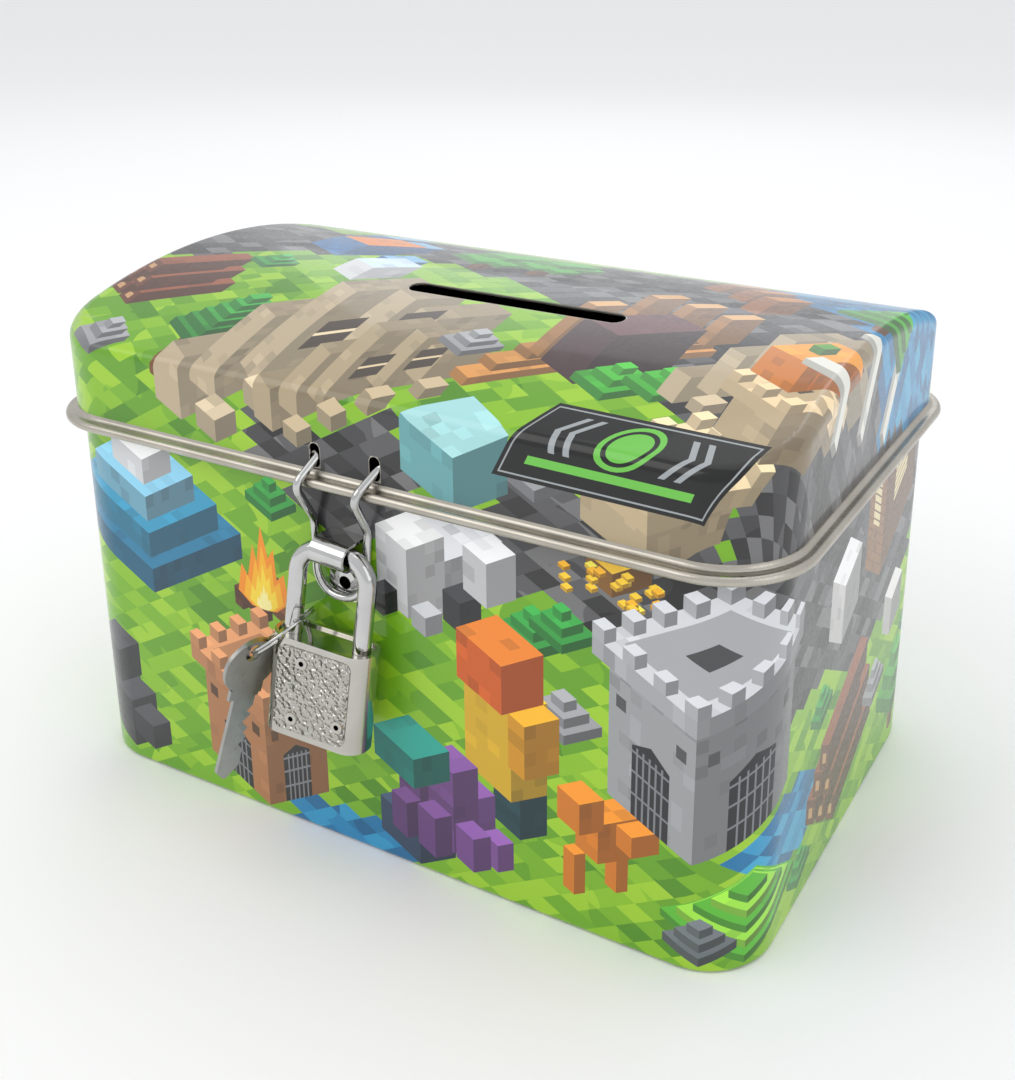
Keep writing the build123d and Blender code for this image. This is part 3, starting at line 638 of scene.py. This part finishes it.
def skin(name, body, place, outline, holes, creases, shapes):
    points, edges = [], []
    square = 6.0      # middles are looked up by squares of this size, mm

    def ring(path, closed=True):
        start = len(points)
        points.extend(Vector(p) for p in path)
        run = list(range(start, len(points)))
        edges.extend(zip(run, run[1:] + run[:1] if closed else run[1:]))

    for path in [outline] + holes + [path for path, _ in shapes]:
        ring(path)
    for crease in creases:
        ring(crease, False)
    spots, _, tris, _, _, _ = geometry.delaunay_2d_cdt(points, edges, [], 0, 1e-4, False)
    middles, bins = [], {}
    for i, tri in enumerate(tris):
        x, y = (sum(spots[k][axis] for k in tri) / 3 for axis in (0, 1))
        middles.append((x, y))
        bins.setdefault((int(x // square), int(y // square)), []).append(i)
    tone = {}

    def lay(path, ink):      # each triangle takes the last shape that its middle lies in
        xs, ys = [p[0] for p in path], [p[1] for p in path]
        for ix in range(int(min(xs) // square), int(max(xs) // square) + 1):
            for iy in range(int(min(ys) // square), int(max(ys) // square) + 1):
                for i in bins.get((ix, iy), ()):
                    if inside(*middles[i], path):
                        tone[i] = ink

    lay(outline, "grass")
    sheet = set(tone)
    for path, ink in shapes:
        lay(path, ink)
    for hole in holes:
        lay(hole, None)
    chosen = [i for i in sorted(sheet) if tone[i]]
    kept, tones = [tris[i] for i in chosen], [tone[i] for i in chosen]
    used = sorted({i for tri in kept for i in tri})
    index = {old: new for new, old in enumerate(used)}
    flat = [spots[i] for i in used]
    placed = [place(p.x, p.y) for p in flat]
    outer, inner = ([(p + n * printLook[level]) * mm for p, n in placed] for level in ("skin", "gap"))
    tris = []
    for tri in kept:
        a, b, c = (index[i] for i in tri)
        normal = (outer[b] - outer[a]).cross(outer[c] - outer[a])
        tris.append((a, b, c) if normal.dot(placed[a][1]) >= 0 else (a, c, b))
    count = len(flat)
    sides = {}
    for a, b, c in tris:
        for e in ((a, b), (b, c), (c, a)):
            sides[e] = sides.get(e, 0) + 1
    rim = [e for e in sides if (e[1], e[0]) not in sides]
    faceList = tris + [(c + count, b + count, a + count) for a, b, c in tris]
    faceList += [(b, a, a + count, b + count) for a, b in rim]
    mesh = bpy.data.meshes.new(name)
    mesh.from_pydata(outer + inner, [], faceList)
    uv = mesh.uv_layers.new(name="print")
    for loop in mesh.loops:
        uv.data[loop.index].uv = flat[loop.vertex_index % count]
    mesh.materials.append(inked)
    mesh.normals_split_custom_set_from_vertices([n for _, n in placed] + [-n for _, n in placed])
    mesh.attributes.new("ink", "FLOAT_COLOR", "CORNER")
    mesh.attributes.new("ground", "FLOAT", "CORNER")
    inks = tones + tones + ["#8A8A84"] * len(rim)      # front, back and the cut edge, which is bare tin
    inkOf = {ink: tint(ink) if ink[0] == "#" else (0.5, 0.5, 0.5, 1.0) for ink in set(inks)}
    colours, kinds = [], []
    for part, ink in zip(mesh.polygons, inks):
        colours += list(inkOf[ink]) * part.loop_total
        kinds += [grounds.get(ink, 0.0)] * part.loop_total
    mesh.attributes["ink"].data.foreach_set("color", colours)
    mesh.attributes["ground"].data.foreach_set("value", kinds)
    obj = put(name, mesh)
    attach(obj, body)
    print(name, "has", len(mesh.polygons), "faces")


def spread(low, high, step):
    count = max(1, round((high - low) / step))
    return [low + (high - low) * i / count for i in range(count + 1)]


def scatter(x0, x1, y0, y1, count):      # the back, the ends and the far side get chance scenery
    spots = [(rng.uniform(x0, x1), rng.uniform(y0, y1)) for _ in range(count)]
    for x, y in sorted(spots, key=lambda p: -p[1]):
        rng.choice((bush, rock, tallTree, bush, wideTree))(x, y, rng.uniform(0.8, 1.3))


# the wall's print: front in the middle, ends and back each side, farthest things first
rng = random.Random(12)
area("stone", [(-20, 84), (-18, 77), (-4, 71), (10, 77), (26, 68), (40, 72), (52, 66), (60, 60), (84, 50),
               (112, 48), (134, 38), (162, 44), (176, 62), (176, 84)])
area("water", [(-20, 6), (-6, 9), (8, 4), (14, -3), (-24, -3)])
area("water", [(76, 26), (92, 33), (110, 30), (118, 22), (108, 14), (88, 16)])
area("water", [(200, 20), (226, 30), (250, 22), (240, 8), (214, 6)])
area("stone", [(-150, 84), (-160, 60), (-130, 48), (-104, 60), (-96, 84)])
area("stone", [(-250, 30), (-220, 44), (-190, 34), (-196, 12), (-236, 8)])
area("water", [(-150, 18), (-128, 26), (-108, 18), (-116, 4), (-144, 4)])
for i, ink in enumerate(("#1D6C8E", "#2B86A8", "#7FBCD6", "#F2F4F7")):
    box(-58, 45.8 + i * 8.6, 6.6 - 1.5 * i, 6.6 - 1.5 * i, 1.25, ink)
bush(-23, 71, 1.1)
fire(-26.5, 47, 1.0)
for dx, dy, w, h in ((-14, 6, 2.4, 2.0), (-8, 1, 2.0, 2.6), (-2, 2, 1.4, 1.3), (-11, 17, 1.8, 1.8)):
    box(-61 + dx, 2 + dy, w, w, h, "#4A4B4F")
turret(-29, 1, 4.2, 4.0, 4.9, "#C98B5D", 1.0, True)
for dx, dy, w, h, ink in ((10, 6, 3.4, 2.4, "#C9CBCD"), (2, 3, 2.2, 3.2, "#E9EAEB"),
                          (14, 3, 1.2, 1.4, "#3A3B3E"), (20, 10, 1.6, 2.0, "#DDDEE0"),
                          (-4, 2, 0.9, 1.0, "#3A3B3E"), (6, 0, 1.0, 0.9, "#B9BBBE")):
    box(8 + dx, 55 + dy, w, w * 0.8, h, ink)
hoard(54, 73, 1.0)
bush(38, 57, 1.25)
bush(44, 60, 1.15)
rock(44.5, 40.8, 1.0)
box(35, 16, 1.5, 1.5, 2.2, "#1F4A55")
box(33, 24, 2.0, 2.6, 4.4, "#F2C22B")
box(36, 30, 1.9, 0.9, 2.6, "#F0A722")
box(31, 43, 2.3, 2.5, 2.3, "#EC6B22", "#F58A2C")
box(11, 1, 2.2, 2.4, 1.8, "#3B4F6B")
crystals(16, 4, 1.15)
box(10, 19, 2.2, 2.4, 1.5, "#17867A", "#27A796")
for dx, dy, w, d, h in ((-5, 2, 0.6, 0.6, 2.0), (4, 6, 0.6, 0.6, 2.0), (0, 11, 2.6, 1.2, 1.9),
                        (-4, 16, 1.3, 1.2, 1.5), (7, 15, 1.4, 0.8, 1.0)):
    box(52 + dx, 6 + dy, w, d, h, "#F08A24")
turret(71, 24, 5.5, 4.3, 6.2, "#B4B6B9", 1.0, True)
for i in range(5):
    box(82, 1.5 + 3.4 * i, 4.6 - 0.85 * i, 4.2 - 0.8 * i, 0.35, ("#4FA32C", "#8CCB3C")[i % 2])
rock(73, 1.5, 0.9, "#5E6468")
cabin(147, 54, 5.5, 3.0, 5.6)
box(122, 50, 2.4, 2.2, 2.8, "#E4E3E0")
box(160, 33, 1.8, 1.6, 2.0, "#D8D7D4")
logs(126, 6, 1.7)
bush(104, 4, 1.1)
bush(112, 36, 1.1)
rock(150, 20, 1.0)
tallTree(168, 4, 1.3)
for x0, x1 in ((176, 206), (-206, -176), (-176, -110), (-306, -256)):
    scatter(x0, x1, 2, 66, 8)
turret(-230, 18, 4.6, 4.2, 6.0, "#9FA2A6", 1.0, True)
cabin(-100, 40, 3.6, 4.2, 4.6)
pyramid(-140, 30, 6.4, 0.8, ("#C9A86A", "#D3B478", "#DDC088", "#E6CC98"), 1.0)
turret(-282, 26, 3.6, 3.6, 5.4, "#C98B5D", 1.0, True)
logs(-176, 6, 1.4)
gourd(-196, 52, 1.4)
wallArt, art = art, []


def arc(x, y, r, start, turn, count):
    return [(x + r * cos(start + turn * i / count), y + r * sin(start + turn * i / count))
            for i in range(count + 1)]


def capsule(x0, x1, y, r, count=12):
    return arc(x0 + r, y, r, pi / 2, pi, count) + arc(x1 - r, y, r, -pi / 2, pi, count)


def oblong(x0, x1, y0, y1):
    return [(x0, y0), (x1, y0), (x1, y1), (x0, y1)]


# what the wall's print leaves open, mm on the sheet
wallCuts = {
    "rivet": (-4.24, 62.63, 2.05),     # the eyelet of the staple: middle and radius
    "hinge": (22.2, 81.85, 84.5),      # the notch for the hinge: half width, from and to height
}
runs, low, high = wallRuns(), wallShape["low"], wallShape["top"]
backMiddle = sum(runs)
west, east = -(backMiddle + wallShape["seamFrom"]), backMiddle - wallShape["seamTo"]
creases = []
for side in (1, -1):
    for start in (runs[0], sum(runs[:3])):
        for i in range(17):      # sixteen flats round a corner
            x = side * (start + runs[1] * i / 16)
            creases.append([(x, low - 1), (x, high + 1)])
creases += [[(west - 1, y), (east + 1, y)] for y in (low + 0.35, low + 0.7, wallShape["hem"])]
half, cutLow, cutHigh = wallCuts["hinge"]
wallHoles = [arc(*wallCuts["rivet"], 0, 2 * pi, 28)[:-1],
             oblong(-backMiddle - half, -backMiddle + half, cutLow, cutHigh)]
skin("printedWall", "box", onWall, oblong(west, east, low, high), wallHoles, creases, wallArt)

# the lid's print: the crown in the middle, folded down over the sides
area("stone", [(-90, -14), (-72, -18), (-60, -6), (-44, -2), (-30, 6), (-10, 2), (8, -4), (22, -12),
               (40, -22), (52, -36), (66, -44), (84, -70), (125, -60), (125, 20), (86, 26), (60, 34),
               (30, 30), (0, 26), (-30, 30), (-60, 22), (-90, 30)])
area("stone", [(-26, -58), (-10, -62), (8, -56), (14, -66), (4, -80), (-24, -80)])
area("stone", [(30, -64), (46, -60), (60, -66), (76, -62), (90, -80), (30, -84)])
area("stone", [(-120, -10), (-92, -20), (-86, -40), (-112, -44)])
area("water", [(50, 28), (62, 44), (84, 52), (110, 40), (106, 2), (86, -2), (66, 12)])
area("water", [(-70, 52), (-40, 62), (-16, 54), (-30, 40), (-60, 40)])
scatter(-84, -40, 30, 62, 6)
scatter(-20, 50, 36, 62, 6)
for dx, dy, w, h in ((-30, 18, 2.2, 1.4), (-22, 4, 2.6, 1.8), (-12, -6, 1.6, 1.0)):
    box(-16 + dx, dy, w, w, h, "#2E78B8", "#8CC4EA")
box(-44, -3, 3.0, 3.2, 2.8, "#2F7FC0", "#F28A2A")
box(-30, -16, 2.4, 2.0, 1.9, "#F1F3F5", "#CFE5F4")
box(-18, -26, 1.4, 1.4, 1.4, "#2A6AA6")
bush(-9, -22, 0.9, "#8CCB5C")
logs(-72, -41, 1.35)
bush(-54, -17, 1.1)
for i in range(9):
    box(-50 + i * 0.3, -58 + 1.2 * i, 0.4, 0.4, 0.5, "#8A5A33")
for i in range(6):
    box(-46 + 0.4 * i, -50 + 3.3 * i, 3.4 - 0.5 * i, 2.6 - 0.4 * i, 0.5, shade("#2F7D34", 1 + 0.06 * i))
ruin(-44, -66, 2.05)
ruin(-20, -64, 1.35, "#CDB995")
rock(-69, -56, 0.9)
rock(12, -38, 0.9)
rock(39, -66, 1.1)
wideTree(-10, 2, 1.35)
wideTree(4, 4, 1.2)
planks(18, -46, 1.55)
for x, y in ((44, 14), (52, 8), (58, 0)):
    box(x, y, 1.5, 1.2, 3.0, "#B06B2E", "#D08A46")
bush(45, -43, 1.4, "#3E9A34")
bush(54, -41, 1.3, "#3E9A34")
box(22, -72, 2.9, 2.9, 2.4, "#79BFC3", "#A8DCDD")
ruin(58, -40, 1.3)
turret(61, -74, 4.2, 3.2, 1.9, "#D3BE98", 0.9, False)
turret(78, -50, 2.6, 2.6, 2.4, "#CDB690", 0.8, False)
gourd(76, -31, 1.9)
for i in range(3):
    box(92 + 6 * i, -30 + 16 * i, 0.7, 4.4, 0.5, "#CFCFC4", "#E6E6DC")
tallTree(82, 1, 1.1)
scatter(-108, -88, -40, 40, 5)
scatter(20, 80, 56, 66, 4)

# the black label: a generic coin and slot mark stands in for lettering
label = {"corners": [(30.2, -62.2), (72.7, -62.8), (79.0, -46.0), (38.7, -45.3)],
         "black": "#0B0C0D", "line": "#9DA3A6", "mark": "#6CC24A"}


def labelPoint(u, v):
    a, b, c, d = (Vector(p) for p in label["corners"])
    return a * (1 - u) * (1 - v) + b * u * (1 - v) + c * u * v + d * (1 - u) * v


def labelPatch(points, ink):      # points across and up the label, from 0 to 1
    patch([labelPoint(u, v) for u, v in points], ink)


labelPatch(oblong(0, 1, 0, 1), label["black"])
labelPatch(oblong(0.02, 0.98, 0.045, 0.955), label["line"])
labelPatch(oblong(0.028, 0.972, 0.065, 0.935), label["black"])
labelPatch(oblong(0.12, 0.88, 0.2, 0.3), label["mark"])
for r, ink in ((0.13, label["mark"]), (0.105, label["black"]), (0.085, label["mark"])):
    labelPatch([(0.5 + r * cos(t * pi / 16), 0.62 + 2.2 * r * sin(t * pi / 16)) for t in range(32)], ink)
for way in (-1, 1):
    for step in (0.2, 0.27):
        u = 0.5 + way * step
        labelPatch([(u, 0.38), (u + way * 0.03, 0.38), (u + way * 0.09, 0.62), (u + way * 0.03, 0.86),
                    (u, 0.86), (u + way * 0.06, 0.62)], label["line"])
lidArt, art = art, []


def lastWhere(test, low, high):      # by halving, how far the test still holds
    for _ in range(40):
        mid = (low + high) / 2
        low, high = (mid, high) if test(mid) else (low, mid)
    return low


def outward(p, n, far):
    return p[0] + n[0] * far, p[1] + n[1] * far


def lidRim(count):      # points round the lid seen from above, each with its way out
    hw, hd, r = lidShape["halfW"], lidShape["halfD"], lidShape["r"]
    bent = []
    for cx, cy, turn in ((hw - r, -hd + r, -pi / 2), (hw - r, hd - r, 0), (-hw + r, hd - r, pi / 2),
                         (-hw + r, -hd + r, pi)):
        for i in range(count + 1):
            t = turn + pi / 2 * i / count
            bent.append(((cx + r * cos(t), cy + r * sin(t)), (cos(t), sin(t))))
    rim = []
    for (p, n), (q, m) in zip(bent, bent[1:] + bent[:1]):
        gap = hypot(q[0] - p[0], q[1] - p[1])      # long only along the straight sides
        steps = max(1, round(gap / 3.0)) if gap > 4 else 1
        for i in range(steps):
            f = i / steps
            way = m if gap >= 4 and f else n
            rim.append(((p[0] + (q[0] - p[0]) * f, p[1] + (q[1] - p[1]) * f), way))
    return rim


rim = lidRim(14)
lidOutline = []
for p, n in rim:
    far = lastWhere(lambda far: onLid(*outward(p, n, far))[0].z > lidShape["foot"], -3.0, 45.0)
    lidOutline.append(outward(p, n, far))
creases = [[(-120, y), (120, y)] for y in spread(-52.5, 52.5, 3.0)]
for inset in (-2.8, -2.3, -1.8, -1.3, -0.8, -0.3, 0.3, 0.9, 1.6):      # round the bend at the lid's edge
    loop = [outward(p, n, inset) for p, n in rim]
    creases.append(loop + loop[:1])
creases += [[(p[0] - n[0] * 3, p[1] - n[1] * 3), outward(p, n, 45)] for p, n in rim]


def skirtY(z):      # how far from the middle of the sheet the front skirt is at this height
    return lastWhere(lambda y: onLid(0, -y)[0].z > z, 52.5, 90.0)


# what the lid's print leaves open, mm
lidCuts = {
    "slot": (-15.55, 36.05, -13.9, 2.6),     # from and to along the lid, middle, and half width
    "wireAt": (-9.85, 4.36),                 # the hasp's two holes
    "wireZ": (91.35, 86.05),                 # their heights on the skirt
    "wireHalf": (1.4, 0.8, 1.0),             # half width, half width of the top, and height of its slope
    "leaf": (20.2, 96.7),                    # the rear hinge leaf: half width and height
}
lidHoles = [capsule(*lidCuts["slot"])]
y0, y1 = (skirtY(z) for z in lidCuts["wireZ"])
wide, narrow, slope = lidCuts["wireHalf"]
for x in lidCuts["wireAt"]:
    lidHoles.append([(x - wide, -y1), (x + wide, -y1), (x + wide, -y0 - slope), (x + narrow, -y0),
                     (x - narrow, -y0), (x - wide, -y0 - slope)])
half, leafTop = lidCuts["leaf"][0], skirtY(lidCuts["leaf"][1])
lidHoles.append(oblong(-half, half, leafTop, 95))
skin("printedLid", "lid", onLid, lidOutline, lidHoles, creases, lidArt)

print("done")
